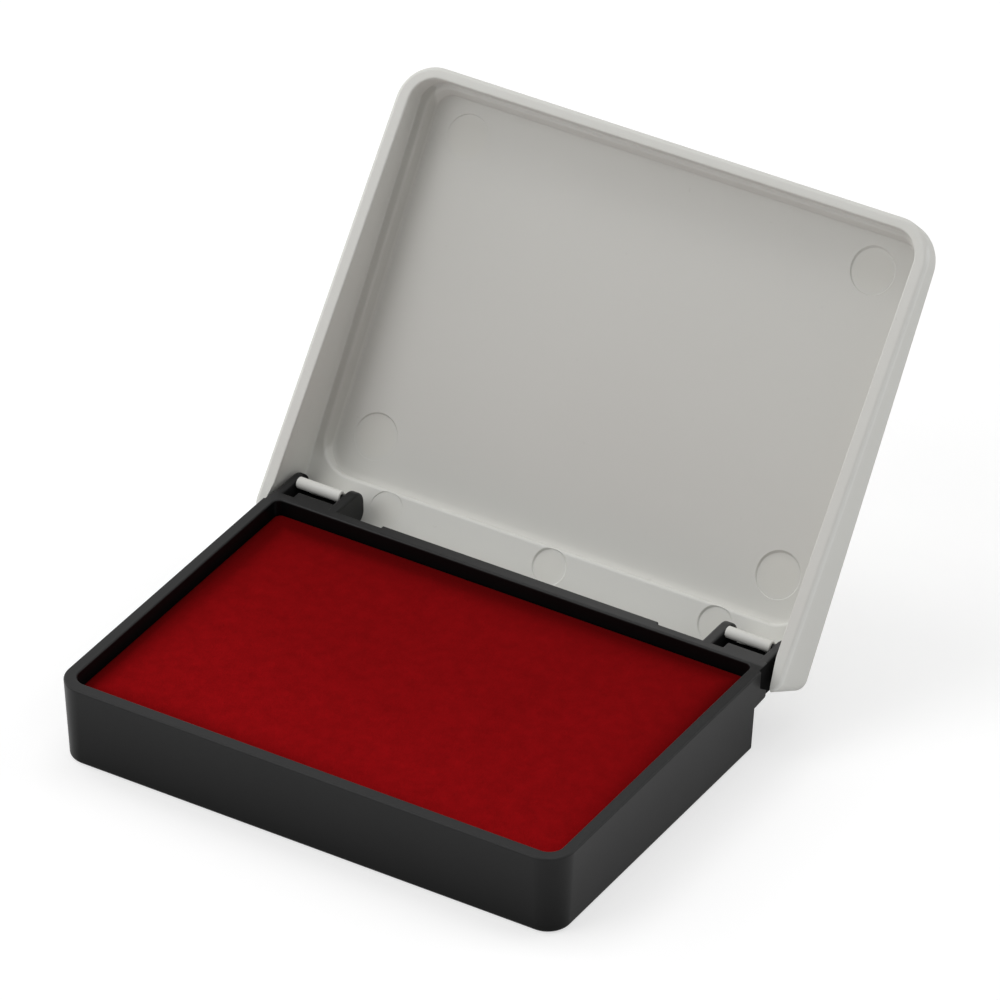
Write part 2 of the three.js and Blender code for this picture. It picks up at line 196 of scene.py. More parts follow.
# Black moulding: a soft spark-eroded grain and cloudy flow of the melt; painted shade that takes it to
# ink-black inside the mouth, towards the foot and in the cheeks beside the lugs, and a painted highlight that
# greys the tops behind the mouth
def blackPlastic():
    look = blackPlasticLook
    paint = Paint("blackPlastic")
    place = paint.place()
    x, y, z = (part / mm for part in paint.split(place))
    outward = paint.absolute(x)
    cloud = paint.noise(place, 38, 3)
    grain = paint.noise(place, look["grain"], 3, 0.6)
    dust = paint.ramp(paint.noise(place, 900, 4, 0.7), 0.66, 0.78)
    below = tray["rim"] - z
    shade = paint.mix(cloud, look["dark"], look["pale"])
    # painted shade: the tone darkens to the deep tone towards the foot
    shade = paint.mix(paint.ramp(z / tray["rim"], 0, 1), look["deep"], shade)
    # painted shade: the walls, shelf and well inside the mouth are taken to the deep tone
    middle = (tray["mouthFront"] + tray["mouthRear"]) / 2
    insideX = tray["mouthHalfWidth"] + 0.1 - outward
    insideY = tray["mouthRear"] - middle + 0.1 - paint.absolute(y - middle)
    mouthShade = paint.ramp(insideX, 0, 0.1) * paint.ramp(insideY, 0, 0.1) * paint.ramp(below, 0.1, 0.5)
    shade = paint.mix(mouthShade, shade, look["deep"])
    # painted shade: the recessed cheek beside each outer lug is taken to the deep tone
    lugStart, lugEnd = hinge["outerLug"]
    cheek = paint.ramp(outward - lugStart + 0.4, 0, 0.3) * paint.ramp(lugEnd + 0.1 - outward, 0, 0.05)
    cheek = cheek * paint.ramp(y - hinge["cheekFront"][0] + 0.05, 0, 0.1) * paint.ramp(below - 0.1, 0, 0.2)
    shade = paint.mix(cheek, shade, look["deep"])
    # painted highlight: tops behind the mouth, near rim height, are lifted to the rear tone, more so to the
    # right
    paintedRearLight = paint.ramp(y - tray["mouthRear"], 0.2, 0.8) * paint.ramp(1 - below, 0.6, 0.95)
    paintedRearLight = paintedRearLight * paint.ramp((x + 60) / 120, 0.1, 0.7)
    shade = paint.mix(paintedRearLight, shade, look["rear"])
    return paint.finish({
        "Base Color": paint.mix(dust * look["dustShare"], shade, look["dust"]),
        "Roughness": look["roughness"] + cloud * 0.1 + grain * 0.06 + cheek * 0.6,
        "Specular IOR Level": look["specular"],
        "Normal": paint.bump(grain, 0.12, 0.00004),
    })


greyPlasticLook = {
    "dark": (0.66, 0.655, 0.62),
    "pale": (0.72, 0.72, 0.69),
    "panel": (0.617, 0.612, 0.58),
    "mark": (0.64, 0.62, 0.53),
    "paintedRimLight": (0.79, 0.79, 0.76),
    "markShare": 0.12,
    "corner": (0.565, 0.56, 0.525),
    "speck": (0.46, 0.45, 0.41),
    "speckShare": 0.2,
    "specular": 0.16,
    "roughness": 0.46,
    "grain": 2200,
}


# Pale grey moulding: faint cloudy tone, fine grain, a darker panel with doubled grain, slightly yellowed
# marks, a painted highlight on the right edge of the rim and painted shade in the left corner beside the
# panel
def greyPlastic():
    look = greyPlasticLook
    paint = Paint("greyPlastic")
    place = paint.place()
    cloud = paint.noise(place, 26, 3)
    streak = paint.noise(paint.stretch(place, (14, 60, 60)), 1, 3)
    grain = paint.noise(place, look["grain"], 3, 0.6)
    speck = paint.ramp(paint.noise(place, 620, 2, 0.5), 0.74, 0.8)
    shade = paint.mix(cloud * 0.6 + streak * 0.4, look["dark"], look["pale"])

    def above(point, upright):
        normal, level = lidPlane(point, upright)
        return (paint.along(place, normal) - level) / mm

    overPanel = above((0, 0, ledgeAt(0) + lid["panelDepth"]), (0, -lid["slope"], 1))
    overRim = above((0, 0, lid["rim"]), (0, 0, 1))
    beforeRear = above((0, lid["panel"]["rear"], 0), (0, -1, 0))
    pastFront = above((0, lid["panel"]["front"], 0), (0, 1, 0))
    panel = 1 - paint.ramp(paint.absolute(overPanel), 0.3, 0.8)
    x = paint.split(place)[0] / mm
    # painted highlight: the right edge of the rim is lifted to a paler tone
    paintedRimLight = paint.ramp(x - lid["halfWidth"] + 2, 0.4, 1) * paint.ramp(overRim, 0.05, 0.3)
    shade = paint.mix(paintedRimLight * (1 - paint.ramp(overRim / 2, 0.35, 0.8)), shade, look["paintedRimLight"])
    fromWall = x + lid["inner"]["halfWidth"]
    # painted shade: the left ledge and riser beside the panel take a darker tone, fading out across the panel
    # floor near the left wall
    corner = paint.ramp(fromWall, 0.05, 0.3) * (1 - paint.ramp(fromWall - 2.6, 0, 0.4))
    corner = corner * paint.ramp(beforeRear / 5, 0.2, 0.9) * paint.ramp(pastFront, 0, 0.6)
    corner = corner * paint.ramp(fromWall * 0.7 - 2.4 - overPanel, 0, 0.3)
    corner = corner * paint.ramp(overPanel + 4, 0.3, 0.7)
    corner = corner + panel * (1 - paint.ramp((fromWall - 2.6) / 5, 0, 0.9)) * 0.6
    shade = paint.mix(panel, shade, paint.mix(cloud * 0.2, look["panel"], look["pale"]))
    yellow = 0
    for middle, radius in markPlaces():
        inward = (radius - paint.distance(place, middle)) / mm
        yellow = yellow + paint.ramp(inward / 2, 0.05, 0.6)
    shade = paint.mix(yellow * look["markShare"], shade, look["mark"])
    shade = paint.mix(corner, shade, look["corner"])
    return paint.finish({
        "Base Color": paint.mix(speck * look["speckShare"], shade, look["speck"]),
        "Roughness": look["roughness"] + streak * 0.12 + grain * 0.05,
        "Specular IOR Level": look["specular"],
        "Normal": paint.bump(grain + panel * grain, 0.1, 0.00004),
    })


redClothLook = {
    "deep": (0.202, 0.0022, 0.0032),
    "bright": (0.315, 0.0034, 0.0053),
    # the pit tone is also the tone of the painted shade on the cloth
    "pitAndShade": (0.09, 0.0008, 0.0012),
    "pitShare": 0.4,
    "thread": 0.42,
    "specular": 0.025,
    "roughness": 0.96,
}


# Inked cloth: crossed threads, uneven ink, painted shade along the edges and to the back with a painted pool
# of light at the front left, lint and small dark pits
def redCloth():
    look = redClothLook
    paint = Paint("redCloth")
    place = paint.place()
    wander = paint.noise(place, 90, 2)
    x, y, _ = paint.split(place)
    turns = 2 * math.pi / (look["thread"] * mm)
    warp = paint.sine(x * turns + wander * 5)
    weft = paint.sine(y * turns + wander * 5)
    weave = warp * weft * 0.5 + 0.5
    ink = paint.noise(place, 60, 3, 0.5)
    smudge = paint.noise(place, 330, 3, 0.6)
    fuzz = paint.noise(place, 1700, 4, 0.7)
    pitAndShade = paint.ramp(paint.noise(place, 760, 2, 0.5), 0.7, 0.8)
    tone = ink * 0.15 + smudge * 0.4 + fuzz * 0.3 + weave * 0.15
    shade = paint.mix(paint.ramp(tone, 0.33, 0.67), look["deep"], look["bright"])
    # painted shade and light: the stored share takes the cloth towards the darkest tone
    paintedShade = paint.node("ShaderNodeAttribute", {"attribute_name": "paintedShade"}, output=2)
    shade = paint.mix(paintedShade, shade, look["pitAndShade"])
    return paint.finish({
        "Base Color": paint.mix(pitAndShade * look["pitShare"], shade, look["pitAndShade"]),
        "Roughness": look["roughness"],
        "Specular IOR Level": look["specular"],
        "Normal": paint.bump(weave * 0.5 + fuzz * 0.5, 0.35, 0.00012),
    })


# Felt: matted fibre, deep red with ink
def redFelt():
    paint = Paint("redFelt")
    place = paint.place()
    fibre = paint.noise(place, 1100, 5, 0.75)
    return paint.finish({
        "Base Color": paint.mix(fibre, (0.09, 0.0016, 0.002), (0.2, 0.003, 0.004)),
        "Roughness": 0.97,
        "Specular IOR Level": 0.05,
        "Normal": paint.bump(fibre, 0.5, 0.0002),
    })


# Foam: open cells soaked with ink
def redFoam():
    paint = Paint("redFoam")
    place = paint.place()
    cell = paint.node("ShaderNodeTexVoronoi", {"feature": "F1"}, {"Vector": place, "Scale": 1300})
    return paint.finish({
        "Base Color": paint.mix(cell, (0.14, 0.002, 0.003), (0.05, 0.001, 0.0014)),
        "Roughness": 0.9,
        "Specular IOR Level": 0.1,
        "Normal": paint.bump(1 - cell, 0.6, 0.0002),
    })


# Pressed board: pulp clouds and short fibres
def greyBoard():
    paint = Paint("greyBoard")
    place = paint.place()
    pulp = paint.noise(place, 240, 4, 0.6)
    fibre = paint.noise(paint.stretch(place, (400, 1600, 1600)), 1, 3)
    return paint.finish({
        "Base Color": paint.mix(pulp * 0.6 + fibre * 0.4, (0.19, 0.17, 0.14), (0.36, 0.33, 0.28)),
        "Roughness": 0.9,
        "Normal": paint.bump(fibre, 0.3, 0.0001),
    })


# Rounded rectangle drawn in by an inset: four quarter arcs, each about a centre one bend in from both sides
def ringOutline(box, inset=0.0, steps=16):
    sideX = np.array([-1, 1, 1, -1])
    sideY = np.array([-1, -1, 1, 1])
    start = np.array([1, 1.5, 0, 0.5]) * math.pi
    bend = np.maximum(np.where(sideY < 0, box["frontRadius"], box["rearRadius"]) - inset, 0.05)
    edge = np.where(sideY < 0, box["front"], box["rear"])
    angle = start[:, None] + np.linspace(0, math.pi / 2, steps + 1)[None, :]
    x = (sideX * (box["halfWidth"] - inset - bend))[:, None] + bend[:, None] * np.cos(angle)
    y = (edge - sideY * (inset + bend))[:, None] + bend[:, None] * np.sin(angle)
    return np.stack([x.ravel(), y.ravel()], axis=1)


# A ring in space: the outline with a height that may depend on its own y
def ringAt(box, inset, height):
    flat = ringOutline(box, inset)
    lift = height(flat[:, 1]) if callable(height) else np.full(len(flat), float(height))
    return np.column_stack([flat, lift])


# Quarter round of an edge, from the wall to the face: how far it is drawn in and how far below the face it is
def edgeRound(radius, steps=5):
    angle = np.linspace(0, math.pi / 2, steps + 1)
    return list(zip(radius * (1 - np.cos(angle)), radius * (1 - np.sin(angle))))


# Skin over rings with equal point counts: four-sided faces between neighbours, one face at each end
def skin(rings):
    count = len(rings[0])
    points = np.concatenate(rings)
    column = np.arange(count)
    row = np.arange(len(rings) - 1)[:, None] * count
    here, beside = row + column, row + np.roll(column, -1)
    quads = np.stack([here, beside, beside + count, here + count], axis=-1).reshape(-1, 4)
    last = (len(rings) - 1) * count
    faces = quads.tolist() + [column[::-1].tolist(), (last + column).tolist()]
    return points, faces


# Closed skin turned round the X axis: a profile of (x, radius) carried round a circle
def turned(profile, y, z, steps=40):
    profile = np.array(profile, float)
    angle = np.linspace(0, 2 * math.pi, steps, endpoint=False)
    x = np.repeat(profile[:, 0][:, None], steps, axis=1)
    rings = np.stack([
        x,
        y + profile[:, 1][:, None] * np.cos(angle),
        z + profile[:, 1][:, None] * np.sin(angle),
    ], axis=-1)
    return skin(list(rings))


def addMesh(name, shape):
    points, faces = shape
    mesh = bpy.data.meshes.new(name)
    mesh.from_pydata((np.asarray(points) * mm).tolist(), [], faces)
    mesh.update()
    piece = bpy.data.objects.new(name, mesh)
    bpy.context.scene.collection.objects.link(piece)
    return piece


# Join to, or cut from, a piece; the tool shapes are used up
def combine(piece, operation, shapes):
    for shape in shapes:
        tool = addMesh("tool", shape)
        change = piece.modifiers.new("combine", "BOOLEAN")
        change.operation = operation
        change.solver = "EXACT"
        change.object = tool
        graph = bpy.context.evaluated_depsgraph_get()
        mesh = bpy.data.meshes.new_from_object(piece.evaluated_get(graph))
        piece.modifiers.clear()
        old = piece.data
        piece.data = mesh
        bpy.data.meshes.remove(old)
        bpy.data.meshes.remove(tool.data)


def smooth(piece, angle=32):
    mesh = piece.data
    mesh.name = piece.name
    mesh.polygons.foreach_set("use_smooth", np.ones(len(mesh.polygons), bool))
    mesh.set_sharp_from_angle(angle=math.radians(angle))
    even = piece.modifiers.new("evenNormals", "WEIGHTED_NORMAL")
    even.keep_sharp = True
    even.weight = 80


def dress(piece, material, body, slot, *nodes):
    piece.data.materials.clear()
    piece.data.materials.append(material)
    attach(piece, body)
    if nodes:
        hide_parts(*nodes)
    print("made", piece.name, len(piece.data.vertices), "points")


# Tray sizes in millimetres
tray = {
    "halfWidth": 59,
    "front": -38.9,
    "overhang": 42.3,
    "lowRear": 38,
    "rim": 18.4,
    "draft": 0.95,
    "frontRadius": 6,
    "rearRadius": 1.2,
    "footRound": 0.8,
    "rimRound": 0.45,
    "overhangZ": 10.3,
    "overhangTop": 10.6,
    "overhangRound": 0.25,
    "mouthHalfWidth": 56.35,
    "mouthFront": -36,
    "mouthRear": 39.9,
    "mouthFrontRadius": 3.2,
    "mouthRearRadius": 1.6,
    "mouthDraft": 0.3,
    "mouthRound": 0.35,
    "shelf": 12.2,
    "wellInset": 0.7,
    "wellRear": 34.2,
    "floor": 2,
    "stepHalfWidth": 32.7,
    "stepRear": 43,
    "slotRear": 44.2,
    "notch": 2.5,
    "edge": 0.3,
    "offset": 0.02,
}
hinge = {
    "y": 47.9,
    "z": 17.9,
    "open": 128.5,
    "innerLug": (43.2, 45.6),
    "outerLug": (56.3, 58.4),
    "lugRear": 52.6,
    "lugTopRound": 3.3,
    "lugFootRound": 2.4,
    "lugEdge": 0.6,
    "plateRear": 51.5,
    "lip": (50.2, 13.4),
    "plateThick": 1.5,
    "stubRadius": 0.5,
    "bar": (45.76, 56.14),
    "barRadius": 1.25,
    "barRound": 0.25,
    "boreRadius": 0.75,
    "boreDepth": 1.7,
    "stubReach": 1.2,
    "web": 0.9,
    "webEdge": 0.15,
    "root": 2,
    "joinDepth": 0.5,
    "stubRoot": 0.8,
    "cheekFront": (38.7, 14.2),
    "cheekRear": (43.3, 10.84),
}


def trayBox(rear):
    return {**tray, "rear": rear}


def mouthBox(extra=0.0):
    return {
        "halfWidth": tray["mouthHalfWidth"] - extra,
        "front": tray["mouthFront"] + extra,
        "rear": tray["mouthRear"] - extra,
        "frontRadius": tray["mouthFrontRadius"],
        "rearRadius": tray["mouthRearRadius"],
    }


# Body of the tray: rings up the outside, over the rim and down into the well
def trayBody():
    def draft(z):
        return tray["draft"] * (1 - z / tray["rim"])

    low, high = trayBox(tray["lowRear"]), trayBox(tray["overhang"])
    mouth = mouthBox()
    well = {**mouthBox(tray["wellInset"]), "rear": tray["wellRear"]}
    rim = tray["rim"]
    foot = reversed(edgeRound(tray["footRound"]))
    rings = [ringAt(low, draft(drop) + inset, drop) for inset, drop in foot]
    rings.append(ringAt(low, draft(tray["overhangZ"]), tray["overhangZ"]))
    for inset, drop in reversed(edgeRound(tray["overhangRound"], 3)):
        level = tray["overhangTop"] + drop
        rings.append(ringAt(trayBox(tray["overhang"] - inset), draft(level), level))
    for inset, drop in edgeRound(tray["rimRound"]):
        rings.append(ringAt(high, draft(rim - drop) + inset, rim - drop))
    for inset, drop in reversed(edgeRound(tray["mouthRound"])):
        rings.append(ringAt(mouth, -inset, rim - drop))
    rings.append(ringAt(mouth, tray["mouthDraft"], tray["shelf"]))
    rings.append(ringAt(well, 0, tray["shelf"]))
    rings.append(ringAt(well, 0, tray["floor"]))
    return skin(rings)


# Block with rounded upright corners and a rounded top edge
def block(x0, x1, y0, y1, z0, z1, edge):
    box = {"halfWidth": (x1 - x0) / 2, "front": y0, "rear": y1, "frontRadius": edge, "rearRadius": edge}
    rings = [ringAt(box, 0, z0)]
    rings += [ringAt(box, min(inset, edge - 0.02), z1 - drop) for inset, drop in edgeRound(edge, 4)]
    points, faces = skin(rings)
    return points + np.array([(x0 + x1) / 2, 0, 0]), faces


# Flat shape of (y, z) points carried along X
def plate(points, x0, x1):
    points = np.array(points, float)
    return skin([np.column_stack([np.full(len(points), x), points]) for x in (x0, x1)])


# Side of a lug drawn in by an inset: along the foot, round the heel, up, round the tip and back at the rim
def lugSide(inset):
    angle = np.linspace(0, math.pi / 2, 13)
    foot, top, rear = tray["overhangTop"], tray["rim"], hinge["lugRear"]
    root = tray["overhang"] - hinge["root"]
    heel, tip = hinge["lugFootRound"], hinge["lugTopRound"]
    heelY = rear - heel + (heel - inset) * np.sin(angle)
    heelZ = foot + heel - (heel - inset) * np.cos(angle)
    tipY = rear - tip + (tip - inset) * np.cos(angle)
    tipZ = top - tip + (tip - inset) * np.sin(angle)
    y = np.concatenate([[root], heelY, tipY, [root]])
    z = np.concatenate([[foot + inset], heelZ, tipZ, [top - inset]])
    return np.column_stack([y, z])


# Lug: its side carried along X, drawn in at both faces for a rounded edge
def lug(x0, x1):
    rounds = edgeRound(hinge["lugEdge"], 3)
    steps = [(x0 + drop, inset) for inset, drop in reversed(rounds)]
    steps += [(x1 - drop, inset) for inset, drop in rounds]
    rings = []
    for x, inset in steps:
        side = lugSide(inset)
        rings.append(np.column_stack([np.full(len(side), x), side]))
    return skin(rings)


def mirrored(shape):
    points, faces = shape
    return points * np.array([-1, 1, 1]), [face[::-1] for face in faces]


def stub(x0, x1):
    radius = hinge["stubRadius"]
    return turned([(x0, radius), (x1, radius)], hinge["y"], hinge["z"], 24)


def trayShell():
    piece = addMesh("trayShell", trayBody())
    offset, foot, edge = tray["offset"], tray["overhangTop"], tray["edge"]
    rim = tray["rim"] - offset
    root = tray["mouthRear"] + 1
    inner, outer = hinge["innerLug"], hinge["outerLug"]
    step, slotRear, join = tray["stepHalfWidth"], tray["slotRear"], hinge["joinDepth"]
    combine(piece, "UNION", [
        block(-step, step, root, tray["stepRear"], foot, rim, edge),
        block(inner[1] + tray["notch"], outer[0] + join, root, slotRear, foot, rim, edge),
        block(tray["notch"] - outer[0], join - inner[1], root, slotRear, foot, rim, edge),
    ])
    front, rear, over = hinge["cheekFront"], hinge["cheekRear"], tray["rim"] + 1
    cheek = plate([front, rear, (rear[0], over), (front[0], over)], outer[1], tray["halfWidth"] + 1)
    combine(piece, "DIFFERENCE", [cheek, mirrored(cheek)])
    plateX = (inner[0] + join, outer[1] - join)
    plateRoot, plateRear = tray["overhang"] - hinge["root"], hinge["plateRear"]
    lipFront, lipTop = hinge["lip"]
    shapes = [
        lug(*inner),
        lug(*outer),
        block(*plateX, plateRoot, plateRear, foot + offset, foot + hinge["plateThick"], edge),
        block(*plateX, lipFront, plateRear, foot + 2 * offset, lipTop, edge),
        stub(inner[1] - hinge["stubRoot"], hinge["bar"][0] + hinge["stubReach"]),
        stub(hinge["bar"][1] - hinge["stubReach"], outer[0] + hinge["stubRoot"]),
    ]
    combine(piece, "UNION", shapes)
    combine(piece, "UNION", [mirrored(shape) for shape in shapes])
    smooth(piece)
    dress(piece, blackPlastic(), "tray", "black_plastic", "base_tray")


# Lid sizes in millimetres, in its closed place
lid = {
    "halfWidth": 62.35,
    "front": -41.77,
    "rear": 56.8,
    "rearLean": 1.6,
    "frontRadius": 8.5,
    "rearRadius": 3.2,
    "draft": 0.3,
    "rim": 13.86,
    "rimRound": 0.95,
    "edgeRound": 1.8,
    "skin": 1.6,
    "inner": {"halfWidth": 59.3, "front": -39.37, "rear": 54.5, "frontRadius": 5.8, "rearRadius": 1},
    "innerRound": 0.4,
    "wallFoot": 0.5,
    "panel": {"halfWidth": 57.1, "front": -38.2, "rear": 43.4, "frontRadius": 4.4, "rearRadius": 7},
    "panelDepth": 3.2,
    "panelDraft": 0.6,
    "panelSkin": 1.2,
    "panelEdge": 0.8,
    "panelFoot": 0.5,
    "panelRear": 0.03,
    "panelSkirt": 0.5,
    "panelRound": 1.2,
    "ledge": 18.7,
    "slope": 0.0815,
    "wallFootZ": 18.67,
    "windowX": 42.4,
    "windowTop": 25,
    "flare": 1.2,
    "markTilt": 0.4,
    "markLeast": 0.03,
    "rearCut": 1.1,
    "flareStart": 0.6,
    "marks": [
        (-39.1, 47.4, 3.8, 0, 0.08), (0, 47.4, 3.8, 0, 0.3), (39.1, 47.4, 3.8, 0, 0.3),
        (-47.8, 33.9, 4.9, 3.2, 0.12), (47.8, 33.9, 4.9, 3.2, 0.3),
        (-47.8, -30.1, 4.9, 3.2, 0.04), (47.8, -30.1, 4.9, 3.2, 0.3),
    ],
}


def ledgeAt(y):
    return lid["ledge"] + lid["slope"] * (y - lid["panel"]["front"])


# Shell of the lid: rings from the panel inside, down the walls, round the rim, up the outside and over it
def lidBody():
    panel, inner = lid["panel"], lid["inner"]
    innerTop = {**inner, "rear": inner["rear"] - lid["rearLean"]}
    high = {**lid, "rear": lid["rear"] - lid["rearLean"]}
    depth, draft, skinThick = lid["panelDepth"], lid["panelDraft"], lid["skin"]
    quarter = np.linspace(0, math.pi / 2, 6)

    def over(lift):
        return lambda y: ledgeAt(y) + lift

    rings = []
    for inset, drop in reversed(edgeRound(lid["panelFoot"], 7)):
        deep = {**panel, "rear": panel["rear"] + draft - lid["panelRear"] - 2 * inset}
        rings.append(ringAt(deep, draft + inset, over(depth - drop)))
    edge = lid["panelEdge"]
    for t in quarter[::-1]:
        rings.append(ringAt(panel, edge * (math.sin(t) - 1), over(edge * (1 - math.cos(t)))))
    for inset, drop in reversed(edgeRound(lid["wallFoot"])):
        rings.append(ringAt(innerTop, inset, over(-drop)))
    for inset, drop in edgeRound(lid["innerRound"]):
        rings.append(ringAt(inner, -inset, lid["rim"] + drop))
    for inset, drop in reversed(edgeRound(lid["rimRound"], 8)):
        rings.append(ringAt(lid, inset, lid["rim"] + drop))
    for inset, drop in edgeRound(lid["edgeRound"], 8):
        rings.append(ringAt(high, lid["draft"] + inset, over(skinThick - drop)))
    outside = -lid["panelSkin"]
    foot = lid["panelSkirt"]
    for t in quarter:
        inset = outside - foot + foot * math.sin(t)
        rings.append(ringAt(panel, inset, over(skinThick + foot * (1 - math.cos(t)))))
    for inset, drop in edgeRound(lid["panelRound"], 8):
        rings.append(ringAt(panel, outside + draft + inset, over(depth + skinThick - drop)))
    return skin(rings)


# Shallow disc in the sloping face, deeper to the front by a part of the slope, its side falling one in one
def mark(x, y, radius, lift, depth):
    angle = np.linspace(0, 2 * math.pi, 72, endpoint=False)
    local = np.maximum(depth - lid["markTilt"] * lid["slope"] * radius * np.sin(angle), lid["markLeast"])
    rings = []
    for deeper in (-0.3, 1):
        reach = radius + local * (0.5 - deeper)
        px, py = x + reach * np.cos(angle), y + reach * np.sin(angle)
        rings.append(np.column_stack([px, py, ledgeAt(py) + lift + deeper * local]))
    return skin(rings)


# Wedge that opens the side wall out to the back
def sideFlare():
    start, rear, wall = hinge["y"] + lid["flareStart"], lid["rear"] + 1, lid["inner"]["halfWidth"]
    reach = wall + lid["flare"] * (rear - start) / (lid["rear"] - start)
    corners = np.array([(wall - 1, start), (wall, start), (reach, rear), (wall - 1, rear)])
    heights = (lid["rim"] - 1, lid["windowTop"])
    return skin([np.column_stack([corners, np.full(4, z)]) for z in heights])


def cutBox(x0, x1, y0, y1, z0, z1):
    return plate([(y0, z0), (y1, z0), (y1, z1), (y0, z1)], x0, x1)


# Turn about the hinge from the lid's closed place to where it stands open
def openTurn():
    pivot = Vector((0, hinge["y"], hinge["z"])) * mm
    turn = Matrix.Rotation(-math.radians(hinge["open"]), 4, "X")
    return Matrix.Translation(pivot) @ turn @ Matrix.Translation(-pivot)


def swingOpen(piece):
    piece.data.transform(openTurn())


# Plane in the open lid, from a point and an upright in its closed place: its upright, and how far it lies
# from the origin
def lidPlane(point, upright):
    turn = openTurn()
    normal = (turn.to_3x3() @ Vector(upright)).normalized()
    return tuple(normal), normal.dot(turn @ (Vector(point) * mm))


# Middles of the round marks in the open lid, with their radii
def markPlaces():
    turn = openTurn()
    places = []
    for x, y, radius, lift, _ in lid["marks"]:
        places.append((tuple(turn @ (Vector((x, y, ledgeAt(y) + lift)) * mm)), radius * mm))
    return places


def lidShell(plastic):
    piece = addMesh("lidShell", lidBody())
    wall, rear, low = lid["inner"]["halfWidth"], lid["rear"] + 1, lid["rim"] - 1
    cut = hinge["y"] + lid["rearCut"]
    combine(piece, "DIFFERENCE", [
        cutBox(-wall, wall, cut, rear, low, lid["wallFootZ"]),
        cutBox(lid["windowX"], wall, cut, rear, low, lid["windowTop"]),
        cutBox(-wall, -lid["windowX"], cut, rear, low, lid["windowTop"]),
        sideFlare(),
        mirrored(sideFlare()),
    ])
    combine(piece, "DIFFERENCE", [mark(*place) for place in lid["marks"]])
    swingOpen(piece)
    smooth(piece)
    dress(piece, plastic, "lid", "grey_plastic", "lid")


# Hinge bars: a round bar bored at both ends, on a web that hangs from the ledge
def hingeBars(plastic):
    x0, x1 = hinge["bar"]
    y, z, half = hinge["y"], hinge["z"], hinge["web"]
    radius, bore, depth = hinge["barRadius"], hinge["boreRadius"], hinge["boreDepth"]
    ends = edgeRound(hinge["barRound"], 4)
    profile = [(x0 + drop, radius - inset) for inset, drop in reversed(ends)]
    profile += [(x1 - drop, radius - inset) for inset, drop in ends]
    bar = turned(profile, y, z)
    webTop = ledgeAt(y) + lid["skin"] / 2
    web = block(x0 + tray["offset"], x1 - tray["offset"], y - half, y + half, z, webTop, hinge["webEdge"])
    bores = [
        turned([(x0 - 1, bore), (x0 + depth, bore)], y, z),
        turned([(x1 - depth, bore), (x1 + 1, bore)], y, z),
    ]
    for name, hand in (("hingeBarRight", lambda shape: shape), ("hingeBarLeft", mirrored)):
        piece = addMesh(name, hand(bar))
        combine(piece, "UNION", [hand(web)])
        combine(piece, "DIFFERENCE", [hand(bore) for bore in bores])
        swingOpen(piece)
        smooth(piece)
        dress(piece, plastic, "lid", "grey_plastic")


# Pad sizes in millimetres
pad = {
    "clothGap": 0.6,
    "clothFoot": 14.6,
    "clothTop": 15.45,
    "clothEdge": 0.7,
    "crown": 0.36,
    "wave": 0.035,
    "tuck": 0.25,
    "rings": 34,
    # painted light and shade on the cloth: a lit pool at the front left, shade rising to the back, shadows at
    # the edges
    "litPool": {"x": -40, "y": -25, "reachX": 24, "reachY": 26, "share": 0.16},
    "rearShade": 0.22,
    "edgeShade": {"rear": (1.1, 2.9), "left": (2.4, 1.9), "right": (0.1, 3)},
    "felt": {"gap": 0.75, "foot": 12.35, "top": 14.55, "edge": 0.5, "bulge": 0.1},
    "foam": {"gap": 0.5, "foot": 3.5, "top": 12.1, "edge": 0.6, "bulge": 0.15},
}


# How much painted shade the cloth takes: less in a bell near the front left, a painted pool of light, a
# straight rise to the back, and at each edge a painted shadow whose share falls away exponentially
def paintedPadShade(box, x, y):
    litPool = pad["litPool"]
    back = box["rear"] - y
    bell = ((x - litPool["x"]) / litPool["reachX"]) ** 2 + ((y - litPool["y"]) / litPool["reachY"]) ** 2
    paintedShade = litPool["share"] * (1 - np.exp(-bell))
    paintedShade += pad["rearShade"] * (1 - back / (box["rear"] - box["front"]))
    edges = {"rear": back, "left": box["halfWidth"] + x, "right": box["halfWidth"] - x}
    for side, away in edges.items():
        share, reach = pad["edgeShade"][side]
        paintedShade += share * np.exp(-away / reach)
    return np.clip(paintedShade, 0, 1)


# Inked cloth: rings from the tucked edge inwards; the height is a crown, one minus the fourth power of the
# distance from the middle, with low crossed waves where the cloth lies uneven
def inkCloth():
    box = mouthBox(pad["clothGap"])
    half = (box["rear"] - box["front"]) / 2
    top = pad["clothTop"]
    rings = [ringAt(box, pad["tuck"], pad["clothFoot"])]
    rings += [ringAt(box, inset, top - drop) for inset, drop in edgeRound(pad["clothEdge"], 6)]
    reach = np.linspace(0, 1, pad["rings"])[1:] ** 1.4 * (half - pad["clothEdge"] - 1.5)
    for inset in reach:
        flat = ringOutline(box, pad["clothEdge"] + inset)
        middleY = (box["front"] + box["rear"]) / 2
        away = np.maximum(np.abs(flat[:, 0]) / box["halfWidth"], np.abs(flat[:, 1] - middleY) / half)
        settle = 1 - away ** 4
        wave = np.sin(flat[:, 0] * 0.21 + 1.3) * np.sin(flat[:, 1] * 0.17 + 0.4)
        wave += 0.6 * np.sin(flat[:, 0] * 0.47 + flat[:, 1] * 0.31)
        rings.append(np.column_stack([flat, top + settle * (pad["crown"] + pad["wave"] * wave)]))
    piece = addMesh("inkCloth", skin(rings))
    x, y = np.concatenate(rings)[:, :2].T
    # painted shade stored on each point of the cloth
    paintedShade = piece.data.attributes.new("paintedShade", "FLOAT", "POINT")
    paintedShade.data.foreach_set("value", paintedPadShade(box, x, y).astype(np.float32))
    smooth(piece, 60)
    dress(piece, redCloth(), "tray", "red_cloth", "cover_cloth")


